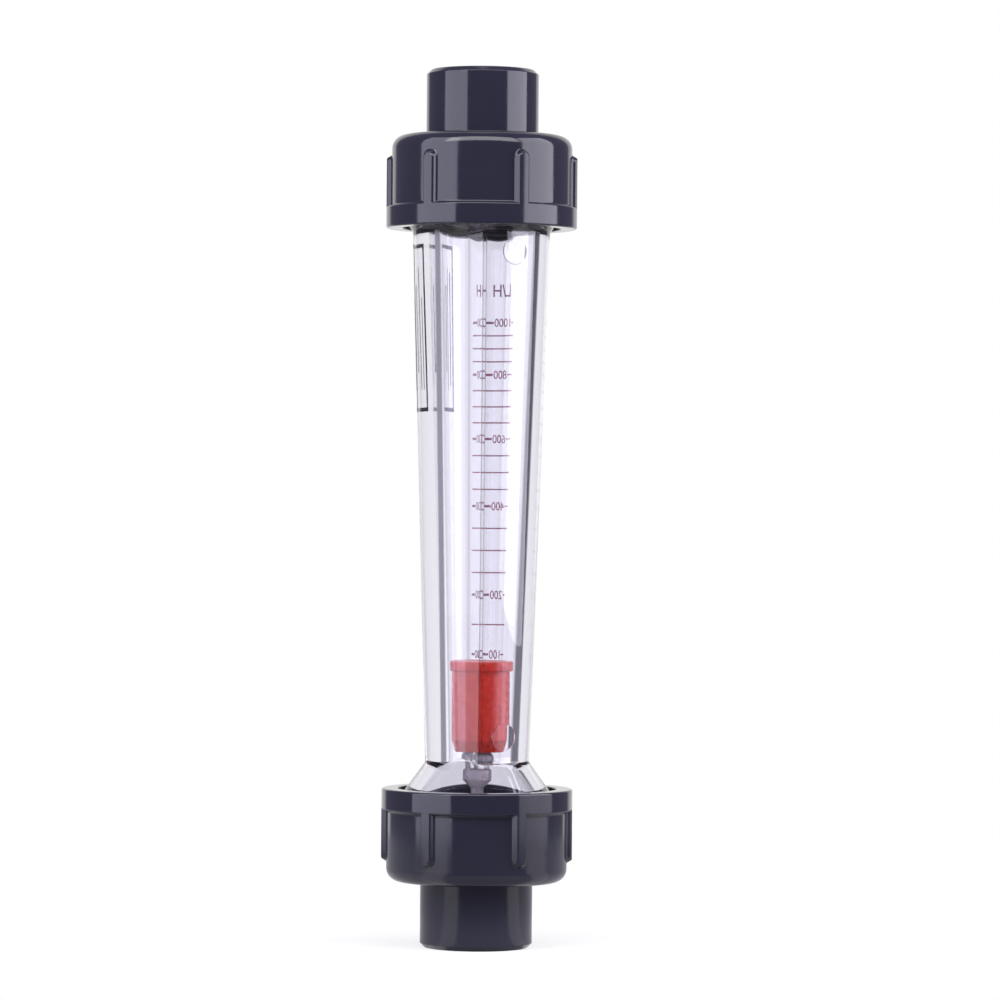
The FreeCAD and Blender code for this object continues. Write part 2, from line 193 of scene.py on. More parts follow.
def lathe(profile, around=192):
    """Vertices and faces of a closed outline turned about the Z axis; points on the axis share one vertex."""
    vertices, rings = [], []
    for radius, height in profile:
        first = len(vertices)
        if radius < 1e-7:
            vertices.append(Vector((0, 0, height)))
            rings.append([first] * around)
            continue
        vertices += [direction(2 * math.pi * k / around) * radius + Vector((0, 0, height))
                     for k in range(around)]
        rings.append(list(range(first, first + around)))
    faces = []
    for ring, following in zip(rings, rings[1:] + rings[:1]):
        for k in range(around):
            after = (k + 1) % around
            corners = [ring[k], ring[after], following[after], following[k]]
            distinct = list(dict.fromkeys(corners))
            if len(distinct) > 2:
                faces.append(tuple(distinct))
    return vertices, faces


def joined(*solids):
    vertices, faces = [], []
    for more_vertices, more_faces in solids:
        start = len(vertices)
        vertices += more_vertices
        faces += [tuple(start + corner for corner in face) for face in more_faces]
    return vertices, faces


def flipped_end_for_end(vertices, faces, middle):
    """The solid turned half a turn about a level line at a height."""
    turned = [Vector((v.x, -v.y, 2 * middle - v.z)) for v in vertices]
    return turned, faces


# ---------------------------------------------------------------- materials
def new_material(name, **sockets):
    material = bpy.data.materials.new(name)
    material.use_nodes = True
    shader = material.node_tree.nodes["Principled BSDF"]
    for socket, value in sockets.items():
        shader.inputs[socket.replace("_", " ")].default_value = value
    return material, shader


def noise(material, scale, detail=3.0, stretch=(1, 1, 1)):
    tree = material.node_tree
    place = tree.nodes.new("ShaderNodeTexCoord")
    mapping = tree.nodes.new("ShaderNodeMapping")
    mapping.inputs["Scale"].default_value = stretch
    tree.links.new(place.outputs["Object"], mapping.inputs["Vector"])
    texture = tree.nodes.new("ShaderNodeTexNoise")
    texture.inputs["Scale"].default_value = scale
    texture.inputs["Detail"].default_value = detail
    tree.links.new(mapping.outputs["Vector"], texture.inputs["Vector"])
    return texture.outputs["Fac"]


def spread(material, factor, low, high):
    """Maps a noise factor, which keeps near its middle, to a range."""
    node = material.node_tree.nodes.new("ShaderNodeMapRange")
    node.inputs["From Min"].default_value = 0.3
    node.inputs["From Max"].default_value = 0.7
    node.inputs["To Min"].default_value = low
    node.inputs["To Max"].default_value = high
    material.node_tree.links.new(factor, node.inputs["Value"])
    return node.outputs["Result"]


def tint(material, factor, dark, light):
    node = material.node_tree.nodes.new("ShaderNodeMix")
    node.data_type = "RGBA"
    node.inputs["A"].default_value = (*dark, 1)
    node.inputs["B"].default_value = (*light, 1)
    material.node_tree.links.new(factor, node.inputs["Factor"])
    return node.outputs["Result"]


def mottle(material, shader, scale, dark, light):
    """A base colour that drifts between two near tones."""
    colour = tint(material, noise(material, scale), dark, light)
    material.node_tree.links.new(colour, shader.inputs["Base Color"])


def roughen(material, shader, scale, low, high, **texture):
    """A roughness that drifts between two values."""
    roughness = spread(material, noise(material, scale, **texture), low, high)
    material.node_tree.links.new(roughness, shader.inputs["Roughness"])


def bump(material, shader, height, distance, strength=1.0):
    node = material.node_tree.nodes.new("ShaderNodeBump")
    node.inputs["Distance"].default_value = distance
    node.inputs["Strength"].default_value = strength
    material.node_tree.links.new(height, node.inputs["Height"])
    material.node_tree.links.new(node.outputs["Normal"], shader.inputs["Normal"])


def pipe_plastic():
    """Dark grey moulded plastic with a lavender cast, glossy, with the faint waviness of a moulding."""
    material, shader = new_material("pipe_plastic", IOR=1.5)
    mottle(material, shader, 60, (0.013, 0.0125, 0.023), (0.018, 0.017, 0.030))
    roughen(material, shader, 300, 0.07, 0.13)
    bump(material, shader, noise(material, 120, 2.0, (1, 1, 0.4)), 0.00003)
    return material


def clear_plastic():
    """Clear polished plastic with a trace of lavender. Along the flats' edges it is rougher, and its colour
    there is painted near-black as painted shade for the dark lines that the edges show.
    """
    material, shader = new_material("clear_plastic", IOR=1.57, Transmission_Weight=1.0)
    tree = material.node_tree
    line = tree.nodes.new("ShaderNodeAttribute")
    line.attribute_name = "mould_line"
    # the base colour runs from clear lavender to near-black along the edge lines: painted shade for the dark
    # lines the flats' edges show
    tree.links.new(tint(material, line.outputs["Fac"], (0.865, 0.85, 0.915), (0.07, 0.065, 0.10)),
                   shader.inputs["Base Color"])
    frosting = tree.nodes.new("ShaderNodeMapRange")
    frosting.inputs["To Max"].default_value = 0.4
    tree.links.new(line.outputs["Fac"], frosting.inputs["Value"])
    tree.links.new(frosting.outputs["Result"], shader.inputs["Roughness"])
    bump(material, shader, noise(material, 90, 2.0, (1, 1, 0.12)), 0.000008)
    return material


def float_plastic():
    material, shader = new_material("float_plastic", IOR=1.5)
    mottle(material, shader, 120, (0.86, 0.032, 0.008), (0.90, 0.036, 0.010))
    roughen(material, shader, 700, 0.22, 0.32)
    bump(material, shader, noise(material, 900, 2.0), 0.000006)
    return material


def stop_plastic():
    material, shader = new_material("stop_plastic", IOR=1.5, Transmission_Weight=0.55)
    mottle(material, shader, 200, (0.66, 0.61, 0.66), (0.74, 0.69, 0.74))
    roughen(material, shader, 600, 0.25, 0.4)
    return material


def print_ink(name, colour):
    material, shader = new_material(name, IOR=1.45)
    darker = tuple(channel * 0.8 for channel in colour)
    mottle(material, shader, 1500, darker, colour)
    roughen(material, shader, 2500, 0.35, 0.55)
    return material


def seal_rubber():
    material, shader = new_material("seal_rubber")
    mottle(material, shader, 500, (0.012, 0.012, 0.012), (0.03, 0.03, 0.03))
    roughen(material, shader, 900, 0.5, 0.7)
    return material


def weight_steel():
    material, shader = new_material("weight_steel", Metallic=1.0, Base_Color=(0.58, 0.57, 0.56, 1))
    roughen(material, shader, 400, 0.2, 0.4, stretch=(1, 1, 12))
    return material


# ---------------------------------------------------------------- metering tube
ROUND_STEPS = 216
FLARE_STEPS = 70
TAPER_STEPS = 36
# frosted lines with painted shade along the flats' edges, for the dark lines the edges show: a fine pair
# beside the front flat's right edge, a broad one on its left edge, and a pair behind
FINE_LINE_PLACE = 0.35 * MM
FRONT_LINE_REACH, BACK_LINE_REACH = 0.15 * MM, 0.32 * MM
BROAD_LINE_HALF = 0.55 * MM
BROAD_LINE_REACH = 0.35 * MM
EDGE_OFFSETS = tuple(math.radians(step * 0.55) for step in range(-7, 8) if step)
FLARE_EASE = 0.25 * MM
FLARE_SPAN = 13 * MM
BORE_CORNER, BELL_CORNER = 0.1 * MM, 0.8 * MM
LONG_STRETCH = 50 * MM  # a stretch of the bore longer than this gets rings between its ends
EDGE_CHAMFER = 0.15 * MM


def mould_line(azimuth, z):
    """How much of a frosted line with painted shade lies on the tube's outside at a place, from 0 to 1."""
    radius = wall_radius(z)
    if flare_radius(z) > radius:
        return 0.0
    swing = (azimuth - FLAT_AZIMUTH + math.pi / 2) % math.pi - math.pi / 2
    front = math.cos(azimuth - FLAT_AZIMUTH) > 0
    beside_right = abs(swing - FLAT_HALF_ANGLE) * radius
    beside_left = abs(swing + FLAT_HALF_ANGLE) * radius
    if not front:
        return max(0.0, 1 - abs(beside_right - FINE_LINE_PLACE) / BACK_LINE_REACH)
    fine = 1 - abs(beside_right - FINE_LINE_PLACE) / FRONT_LINE_REACH
    broad = (BROAD_LINE_HALF + BROAD_LINE_REACH - beside_left) / BROAD_LINE_REACH
    return max(0.0, min(1.0, max(fine, broad)))


def tube_azimuths():
    """Directions of the net's columns, closer together at the flats' edges."""
    spots = {round(2 * math.pi * k / ROUND_STEPS, 5) for k in range(ROUND_STEPS)}
    for side in (0, math.pi):
        for edge in (-FLAT_HALF_ANGLE, FLAT_HALF_ANGLE):
            for offset in EDGE_OFFSETS:
                spots.add(round((FLAT_AZIMUTH + side + edge + offset) % (2 * math.pi), 5))
    ordered = sorted(spots)
    apart = math.radians(0.3)
    return [here for here, before in zip(ordered, [-1.0] + ordered[:-1]) if here - before > apart]


def flare_radius(z):
    """Radius of the nearer end's flare, carried on past the tube's wall."""
    mouth = NUT_MOUTH if z < (TUBE_LOW + TUBE_HIGH) / 2 else END_HIGH + END_LOW - NUT_MOUTH
    inward = z - mouth if mouth == NUT_MOUTH else mouth - z
    return FLARE_RADIUS - inward * FLARE_SLOPE


def thread_outline():
    """(radius, height above the end face) along one threaded end."""
    points = [(THREAD_ROOT - 0.3 * MM, 0.0), (THREAD_ROOT, 0.3 * MM)]
    for count in range(THREAD_RIDGES):
        height = THREAD_START + count * THREAD_PITCH
        points += [(THREAD_ROOT, height - RIDGE_FOOT / 2), (THREAD_RADIUS, height - RIDGE_CREST / 2),
                   (THREAD_RADIUS, height + RIDGE_CREST / 2), (THREAD_ROOT, height + RIDGE_FOOT / 2)]
    return points


def tube_solid():
    azimuths = tube_azimuths()
    flare_foot = NUT_MOUTH - (THREAD_ROOT - FLARE_RADIUS) / FLARE_SLOPE
    flare_top = flare_foot + FLARE_SPAN
    end = [(TUBE_LOW + height, radius) for radius, height in thread_outline()]
    end += [(between(flare_foot, flare_top, k / FLARE_STEPS), None) for k in range(FLARE_STEPS + 1)]
    middle = TUBE_LOW + TUBE_HIGH
    outside = list(end)
    outside += [(between(flare_top, middle - flare_top, k / TAPER_STEPS), None)
                for k in range(1, TAPER_STEPS)]
    outside += [(middle - height, radius) for height, radius in reversed(end)]
    vertices, shade_and_frost = [], []
    for height, radius in outside:
        for azimuth in azimuths:
            shade_and_frost.append(0.0 if radius else mould_line(azimuth, height))
            reach = radius or eased_maximum(wall_reach(azimuth, height), flare_radius(height), FLARE_EASE)
            vertices.append(direction(azimuth) * reach + Vector((0, 0, height)))
    flare_inside = FLARE_RADIUS - FLARE_WALL * math.hypot(1, FLARE_SLOPE)
    bore = soften([
        (SEAT_HIGH + EDGE_CHAMFER, TUBE_HIGH),
        (SEAT_HIGH, TUBE_HIGH - EDGE_CHAMFER),
        (SEAT_HIGH, TUBE_HIGH - SEAT_DEPTH, BORE_CORNER),
        (BORE_HIGH, TUBE_HIGH - SEAT_DEPTH, BORE_CORNER),
        (BORE_HIGH, TUBE_HIGH - BORE_STRAIGHT_HIGH),
        (BORE_LOW, TUBE_LOW + BORE_STRAIGHT_LOW),
        (BORE_LOW, NUT_MOUTH + (flare_inside - BORE_LOW) / FLARE_SLOPE, BELL_CORNER),
        (END_BORE, NUT_MOUTH + (flare_inside - END_BORE) / FLARE_SLOPE, BELL_CORNER),
        (END_BORE, TUBE_LOW + SEAT_DEPTH, BORE_CORNER),
        (SEAT_LOW, TUBE_LOW + SEAT_DEPTH, BORE_CORNER),
        (SEAT_LOW, TUBE_LOW + EDGE_CHAMFER),
        (SEAT_LOW + EDGE_CHAMFER, TUBE_LOW),
    ], steps=3)
    inside = []
    for here, following in zip(bore, bore[1:] + [None]):
        inside.append(here)
        if following and here[1] - following[1] > LONG_STRETCH:
            inside += [tuple(Vector(here).lerp(Vector(following), k / TAPER_STEPS))
                       for k in range(1, TAPER_STEPS)]
    for radius, height in inside:
        vertices += [direction(azimuth) * radius + Vector((0, 0, height)) for azimuth in azimuths]
    shade_and_frost += [0.0] * (len(vertices) - len(shade_and_frost))
    return vertices, grid_faces(len(outside) + len(inside), len(azimuths), closed=True), shade_and_frost


def wall_frame(azimuth, reach, z):
    """Placement on the leaning wall: X to the reader's right outside, Y up the wall, Z outward."""
    lean = math.atan((WALL_HIGH - WALL_LOW) / (TUBE_HIGH - TUBE_LOW - 2 * WALL_INSET))
    out = (direction(azimuth) * math.cos(lean) - Vector((0, 0, math.sin(lean)))).normalized()
    right = Vector((0, 0, 1)).cross(out).normalized()
    up = out.cross(right)
    centre = direction(azimuth) * reach + Vector((0, 0, z))
    return Matrix.Translation(centre) @ Matrix((right, up, out)).transposed().to_4x4()


def disc_solid(height):
    """A plain round pad on the round wall beside the front flat."""
    z = TUBE_LOW + height
    place = wall_frame(DISC_AZIMUTH, wall_radius(z), z)
    around = 96
    levels = ((-DISC_ROOT, DISC_RADIUS), (DISC_RISE * 0.4, DISC_RADIUS), (DISC_RISE, DISC_RADIUS - DISC_RISE))
    vertices = []
    for rise, radius in levels:
        for k in range(around):
            turn = 2 * math.pi * k / around
            vertices.append(place @ Vector((math.cos(turn) * radius, math.sin(turn) * radius, rise)))
    faces = grid_faces(len(levels), around)
    faces.append(tuple(reversed(range(around))))
    faces.append(tuple(range((len(levels) - 1) * around, len(levels) * around)))
    return vertices, faces


def make_tube(material):
    vertices, faces, shade_and_frost = tube_solid()
    tube = add_piece("clear_tube", vertices, faces, material, "meter", "clear_plastic", ["metering_tube"])
    flip_if_inside_out(tube)
    # each point's share of painted shade and frost along the flats' edges, for the clear plastic's material
    tube.data.attributes.new("mould_line", "FLOAT", "POINT").data.foreach_set("value", shade_and_frost)
    for height in DISC_HEIGHTS:
        vertices, faces = disc_solid(height)
        mesh = bpy.data.meshes.new("disc_cutter")
        mesh.from_pydata([tuple(v) for v in vertices], [], faces)
        cutter = bpy.data.objects.new("disc_cutter", mesh)
        bpy.context.scene.collection.objects.link(cutter)
        flip_if_inside_out(cutter)
        union = tube.modifiers.new("disc", "BOOLEAN")
        union.operation = "UNION"
        union.solver = "EXACT"
        union.object = cutter
        apply_modifiers(tube)
        bpy.data.objects.remove(cutter)
    smooth(tube, 30)
    return tube


def apply_modifiers(piece):
    bpy.context.view_layer.update()
    evaluated = piece.evaluated_get(bpy.context.evaluated_depsgraph_get())
    mesh = bpy.data.meshes.new_from_object(evaluated)
    piece.modifiers.clear()
    old = piece.data
    piece.data = mesh
    mesh.name = old.name
    bpy.data.meshes.remove(old)


def flip_if_inside_out(piece):
    """Faces of a closed solid all point outward afterwards."""
    volume = 0.0
    mesh = piece.data
    mesh.calc_loop_triangles()
    for triangle in mesh.loop_triangles:
        a, b, c = (mesh.vertices[v].co for v in triangle.vertices)
        volume += a.dot(b.cross(c))
    if volume < 0:
        mesh.flip_normals()


# ---------------------------------------------------------------- float and stops
# the float is drawn narrower than its solid, as the narrower bore above needs
FLOAT_RADIUS, FLOAT_FOOT_RADIUS, FLOAT_RIM_RADIUS = 7.3 * MM, 6.0 * MM, 8.0 * MM
FLOAT_FOOT_HEIGHT, FLOAT_RIM_HEIGHT = 2.8 * MM, 2.2 * MM
CAP_THICKNESS, CAP_RECESS, CAP_SEAM = 1.5 * MM, 1.6 * MM, 0.05 * MM


def make_float(material):
    rim_foot = FLOAT_HIGH - FLOAT_RIM_HEIGHT
    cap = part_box("float_cap")[1].x
    profile = soften([
        (0, FLOAT_LOW),
        (FLOAT_FOOT_RADIUS, FLOAT_LOW, 0.3 * MM),
        (FLOAT_RADIUS, FLOAT_LOW + FLOAT_FOOT_HEIGHT, 0.5 * MM),
        (FLOAT_RADIUS, rim_foot, 0.15 * MM),
        (FLOAT_RIM_RADIUS, rim_foot, 0.25 * MM),
        (FLOAT_RIM_RADIUS, FLOAT_HIGH, 0.35 * MM),
        (cap + CAP_SEAM, FLOAT_HIGH, 0.1 * MM),
        (cap + CAP_SEAM, FLOAT_HIGH - CAP_RECESS),
        (0, FLOAT_HIGH - CAP_RECESS),
    ])
    body = add_piece("red_float", *lathe(profile), material, "float", "float_plastic", ["float_body"])
    flip_if_inside_out(body)
    smooth(body)
    lid = add_piece("red_float_cap", *lathe(soften([
        (0, FLOAT_HIGH - CAP_THICKNESS),
        (cap, FLOAT_HIGH - CAP_THICKNESS),
        (cap, FLOAT_HIGH, 0.15 * MM),
        (0, FLOAT_HIGH),
    ])), material, "float", "float_plastic", ["float_cap"])
    flip_if_inside_out(lid)
    smooth(lid)


def bar_solid(start, end, width, low, high):
    """A level square bar between two plan points."""
    along = (end - start).normalized()
    across = Vector((along.y, -along.x, 0)) * width / 2
    corners = [start - across, start + across, end + across, end - across]
    vertices = [Vector((c.x, c.y, low)) for c in corners] + [Vector((c.x, c.y, high)) for c in corners]
    faces = [(3, 2, 1, 0), (4, 5, 6, 7), (0, 1, 5, 4), (1, 2, 6, 5), (2, 3, 7, 6), (3, 0, 4, 7)]
    return vertices, faces


SPOKE_COUNT = 3
SPOKE_WIDTH, SPOKE_INSET = 1.6 * MM, 0.1 * MM
SPECK = 0.2 * MM
STOP_CLEARANCE = 0.05 * MM


def stop_solid(low, tip, rim):
    """Spider stop standing on a height: ring, spokes, stem and hub, and three prongs with ball ends."""
    ring_width, ring_height = 1.9 * MM, 3.0 * MM
    stem, hub, hub_height = 1.5 * MM, 3.3 * MM, 2.6 * MM
    prong, circle, prong_length, ball = 0.6 * MM, 2.45 * MM, 3.2 * MM, 1.5 * MM
    hub_foot = tip - ball - prong_length - hub_height
    solids = [lathe(soften([
        (rim - ring_width, low, 0.2 * MM),
        (rim, low, 0.2 * MM),
        (rim, low + ring_height, 0.2 * MM),
        (rim - ring_width, low + ring_height, 0.2 * MM),
    ], 3), 96)]
    solids.append(lathe(soften([
        (0, low),
        (stem, low),
        (stem, hub_foot - hub + stem, 0.5 * MM),
        (hub, hub_foot, 0.4 * MM),
        (hub, hub_foot + hub_height, 0.5 * MM),
        (0, hub_foot + hub_height),
    ], 4), 64))
    for number in range(SPOKE_COUNT):
        out = direction(math.pi + 2 * math.pi * number / SPOKE_COUNT)
        solids.append(bar_solid(out * stem * 0.5, out * (rim - ring_width * 0.5), SPOKE_WIDTH,
                                low + SPOKE_INSET, low + ring_height - SPOKE_INSET))
        place = out * circle
        centre = tip - ball
        neck = math.sqrt(ball ** 2 - prong ** 2)
        arc = [(ball * math.sin(a), centre - ball * math.cos(a)) for a in
               (between(math.atan2(prong, neck), math.pi, k / 16) for k in range(17))]
        profile = [(0, hub_foot + hub_height / 2), (prong, hub_foot + hub_height / 2)] + arc[:-1] + [(0, tip)]
        vertices, faces = lathe(profile, 40)
        solids.append(([v + place for v in vertices], faces))
    return solids


def make_stop(name, node, low, tip, rim, material, upside_down=False):
    """A stop from closed solids that are fused, so that no wall is left inside.

    The fusing needs a second object, which is a speck inside the stem.
    """
    solids = stop_solid(low, tip, rim)
    if upside_down:
        solids = [flipped_end_for_end(*solid, (low + tip) / 2) for solid in solids]
    stop = add_piece(name, *joined(*solids), material, "meter", "stop_plastic", [node])
    recalculate_outside(stop)
    fuse = stop.modifiers.new("fuse", "BOOLEAN")
    fuse.operation = "UNION"
    fuse.solver = "EXACT"
    fuse.use_self = True
    speck = bpy.data.objects.new("speck", bpy.data.meshes.new("speck"))
    speck_vertices, speck_faces = bar_solid(Vector((0, 0, 0)), Vector((SPECK, 0, 0)), SPECK,
                                            low + MM, low + MM + SPECK)
    speck.data.from_pydata([tuple(v) for v in speck_vertices], [], speck_faces)
    bpy.context.scene.collection.objects.link(speck)
    flip_if_inside_out(speck)
    fuse.object = speck
    apply_modifiers(stop)
    bpy.data.objects.remove(speck)
    smooth(stop)
    return stop


def recalculate_outside(piece):
    mesh = bmesh.new()
    mesh.from_mesh(piece.data)
    bmesh.ops.recalc_face_normals(mesh, faces=mesh.faces)
    mesh.to_mesh(piece.data)
    mesh.free()


# ---------------------------------------------------------------- union nuts and ends
NUT_RADIUS = 20.6 * MM
RIM_RADIUS = 21.8 * MM
RIM_HEIGHT = 4.9 * MM
NUT_BORE = 13.1 * MM
NUT_MOUTH_RADIUS = 18.05 * MM
NUT_INSIDE = 18.0 * MM
NUT_WALL = 3.5 * MM
RIB_COUNT = 6
WALL_RINGS = 60
RIB_WIDTH = 3.8 * MM
RIB_TOP = 1.9 * MM
RIB_INSET = 4.2 * MM
NUT_TURNS = {"lower": math.radians(24.7), "upper": math.radians(22.7)}


def eased_step(value):
    value = max(0.0, min(1.0, value))
    return value * value * (3 - 2 * value)


def rib_rise(across, along):
    """Height of a rib above the nut's wall, at a distance across its middle line and past its end."""
    distance = math.hypot(across, min(0.0, along))
    flank = (RIB_WIDTH / 2 - distance) / ((RIB_WIDTH - RIB_TOP) / 2)
    return (RIM_RADIUS - NUT_RADIUS) * eased_step(flank)


def nut_solid(turn, around=720):
    """Ribbed nut with its outer end down, as a net of rings whose wall swells at the ribs."""
    low, high = NUT_REACH, NUT_MOUTH
    rim_foot = high - RIM_HEIGHT
    wall = [(NUT_RADIUS, low, 3.0 * MM), (NUT_RADIUS, rim_foot, 0.5 * MM)]
    outline = soften([
        (NUT_BORE, low, 0.25 * MM),
        *wall,
        (RIM_RADIUS, rim_foot, 0.4 * MM),
        (RIM_RADIUS, high, 0.5 * MM),
        (NUT_MOUTH_RADIUS, high, 0.3 * MM),
        (NUT_INSIDE, high - 12 * MM),
        (NUT_INSIDE, low + NUT_WALL),
        (NUT_BORE, low + NUT_WALL, 0.2 * MM),
    ], 8)
    rings = []
    for here, following in zip(outline, outline[1:] + outline[:1]):
        rings.append(here)
        upright = abs(here[0] - NUT_RADIUS) < 1e-6 and abs(following[0] - NUT_RADIUS) < 1e-6
        if upright and following[1] > here[1]:
            rings += [(NUT_RADIUS, between(here[1], following[1], k / WALL_RINGS))
                      for k in range(1, WALL_RINGS)]
    end_centre = low + RIB_INSET + RIB_WIDTH / 2
    spacing = 2 * math.pi / RIB_COUNT
    vertices = []
    for radius, height in rings:
        for k in range(around):
            azimuth = 2 * math.pi * k / around
            nearest = round((azimuth - turn) / spacing) * spacing + turn
            reach = radius
            if radius > NUT_RADIUS - 0.6 * MM and height <= rim_foot + 0.4 * MM and height > low + 2 * MM:
                rise = rib_rise(NUT_RADIUS * math.sin(azimuth - nearest), height - end_centre)
                reach = max(radius, NUT_RADIUS + rise) if rise > 0 else radius
            vertices.append(direction(azimuth) * reach + Vector((0, 0, height)))
    return vertices, grid_faces(len(rings), around, closed=True)


SPIGOT_RADIUS, SPIGOT_EDGE, SOCKET_RADIUS, SOCKET_EDGE = 12.8 * MM, 11.8 * MM, 10.05 * MM, 10.65 * MM
FLANGE_RADIUS, FLANGE_FOOT = 16.6 * MM, 18.5 * MM
GROOVE_OUTSIDE, GROOVE_INSIDE, GROOVE_DEPTH = 15.9 * MM, 14.2 * MM, 1.2 * MM
PASSAGE_RADIUS, SOCKET_DEPTH = 7.5 * MM, 16.0 * MM


def union_end_profile():
    """Outline of the lower union end: socket and spigot, flange, O-ring groove and passage."""
    low = END_LOW
    return soften([
        (SOCKET_EDGE, low, 0.1 * MM),
        (SPIGOT_EDGE, low, 0.25 * MM),
        (SPIGOT_RADIUS, low + 1.0 * MM, 0.25 * MM),
        (SPIGOT_RADIUS, low + FLANGE_FOOT),
        (FLANGE_RADIUS, low + FLANGE_FOOT, 0.2 * MM),
        (FLANGE_RADIUS, TUBE_LOW, 0.2 * MM),
        (GROOVE_OUTSIDE, TUBE_LOW),
        (GROOVE_OUTSIDE, TUBE_LOW - GROOVE_DEPTH),
        (GROOVE_INSIDE, TUBE_LOW - GROOVE_DEPTH),
        (GROOVE_INSIDE, TUBE_LOW),
        (PASSAGE_RADIUS, TUBE_LOW, 0.3 * MM),
        (PASSAGE_RADIUS, low + SOCKET_DEPTH, 0.3 * MM),
        (SOCKET_RADIUS, low + SOCKET_DEPTH, 0.1 * MM),
        (SOCKET_RADIUS, low + 0.6 * MM, 0.1 * MM),
    ])


def make_ends_and_nuts(material):
    middle = (END_LOW + END_HIGH) / 2
    for side in ("lower", "upper"):
        turn = NUT_TURNS[side]
        nut = nut_solid(turn if side == "lower" else math.pi - turn)
        end = lathe(union_end_profile(), 256)
        if side == "upper":
            nut = flipped_end_for_end(*nut, middle)
            end = flipped_end_for_end(*end, middle)
        pieces = ((f"{side}_nut_shell", nut, f"{side}_nut", f"{side}_union_nut"),
                  (f"{side}_spigot", end, "meter", f"{side}_union_end"))
        for name, solid, body, node in pieces:
            piece = add_piece(name, *solid, material, body, "pipe_plastic", [node])
            flip_if_inside_out(piece)
            smooth(piece)


# ---------------------------------------------------------------- printed scale and label
SCALE_AZIMUTH = FLAT_AZIMUTH + math.pi
# readings and their heights, and the smaller marks between one and the next
SCALE_MARKS = ((100, 66.4 * MM, 2), (200, 80.1 * MM, 4), (400, 100.5 * MM, 4), (600, 116.0 * MM, 4),
               (800, 130.8 * MM, 4), (1000, 142.8 * MM, 1))
UNIT_MARK_HEIGHT = 150.2 * MM
DIGIT_HEIGHT = 1.95 * MM
UNIT_LETTER_HEIGHT = 2.8 * MM
THICK_LINE = 0.56 * MM
THIN_LINE = 0.32 * MM
# places across the scale's flat as shares of the wall's radius, to the reader's right
SCALE_LEFT, SCALE_RIGHT = -0.36, 0.205
DIGITS_RIGHT = 0.05
DASH_GAP = 0.015
UNIT_MARK_RIGHT, DIGITS_GAP = 1.2 * MM, 0.2 * MM
CAPITAL_SHARE, STROKE_SWELL = 0.70, 0.02
INK_RISE = 0.015 * MM
INK_THICKNESS = 0.02 * MM


def scale_frame(z):
    return wall_frame(SCALE_AZIMUTH, wall_radius(z) * math.cos(FLAT_HALF_ANGLE) + INK_RISE, z)


def dash(place, left, right, width):
    """A thin printed bar on a flat, from left to right of the flat's middle line."""
    vertices = []
    for level in (0, INK_THICKNESS):
        for x, y in ((left, -width / 2), (right, -width / 2), (right, width / 2), (left, width / 2)):
            vertices.append(place @ Vector((x, y, level)))
    faces = [(3, 2, 1, 0), (4, 5, 6, 7), (0, 1, 5, 4), (1, 2, 6, 5), (2, 3, 7, 6), (3, 0, 4, 7)]
    return vertices, faces


def lettering(text, place, height, right):
    """Printed characters with their right edge at a distance; returns the solid and its left edge."""
    curve = bpy.data.curves.new("lettering", "FONT")
    curve.body = text
    curve.size = height / CAPITAL_SHARE
    curve.extrude = INK_THICKNESS / 2
    curve.resolution_u = 3
    curve.offset = height * STROKE_SWELL
    holder = bpy.data.objects.new("lettering", curve)
    bpy.context.scene.collection.objects.link(holder)
    bpy.context.view_layer.update()
    mesh = bpy.data.meshes.new_from_object(holder.evaluated_get(bpy.context.evaluated_depsgraph_get()))
    across = [v.co.x for v in mesh.vertices]
    middle = (min(v.co.y for v in mesh.vertices) + max(v.co.y for v in mesh.vertices)) / 2
    shift = Vector((right - max(across), -middle, INK_THICKNESS / 2))
    vertices = [place @ (v.co + shift) for v in mesh.vertices]
    faces = [tuple(p.vertices) for p in mesh.polygons]
    bpy.data.objects.remove(holder)
    bpy.data.curves.remove(curve)
    bpy.data.meshes.remove(mesh)
    return (vertices, faces), right - (max(across) - min(across))


def make_scale(material):
    """Readings with a heavy and a fine line beside them, and long fine lines between."""
    solids = []
    for (reading, z, minors), following in zip(SCALE_MARKS, SCALE_MARKS[1:] + (None,)):
        place, radius = scale_frame(z), wall_radius(z)
        digits, digits_left = lettering(str(reading), place, DIGIT_HEIGHT, DIGITS_RIGHT * radius)
        solids.append(digits)
        solids.append(dash(place, (DIGITS_RIGHT + DASH_GAP) * radius, SCALE_RIGHT * radius, THICK_LINE))
        solids.append(dash(place, SCALE_LEFT * radius, digits_left - DIGITS_GAP, THIN_LINE))
        for step in range(1, minors):
            z_minor = between(z, following[1], step / minors)
            reach = wall_radius(z_minor)
            solids.append(dash(scale_frame(z_minor), SCALE_LEFT * reach, SCALE_RIGHT * reach, THIN_LINE))
    unit, _ = lettering("L/H", scale_frame(UNIT_MARK_HEIGHT), UNIT_LETTER_HEIGHT, UNIT_MARK_RIGHT)
    solids.append(unit)
    return add_piece("printed_scale", *joined(*solids), material, "meter", "float_plastic")


# the label: a frame round the side of the wall, with plain bars where its words would be
LABEL_AZIMUTH = FLAT_AZIMUTH - math.pi / 2
LABEL_HALF_ANGLE = math.radians(27.5)
LABEL_LOW, LABEL_HIGH = 122.0 * MM, 160.2 * MM
LABEL_LINE = 0.9 * MM
# each bar's place as a share of the label's half-width, its width, and its ends above the label's foot, in mm
LABEL_BARS = ((-0.62, 0.9, 6.0, 32.0), (-0.25, 0.5, 5.0, 33.0), (0.05, 1.1, 9.0, 29.0),
              (0.42, 0.4, 5.0, 33.0), (0.68, 0.4, 5.0, 26.0))


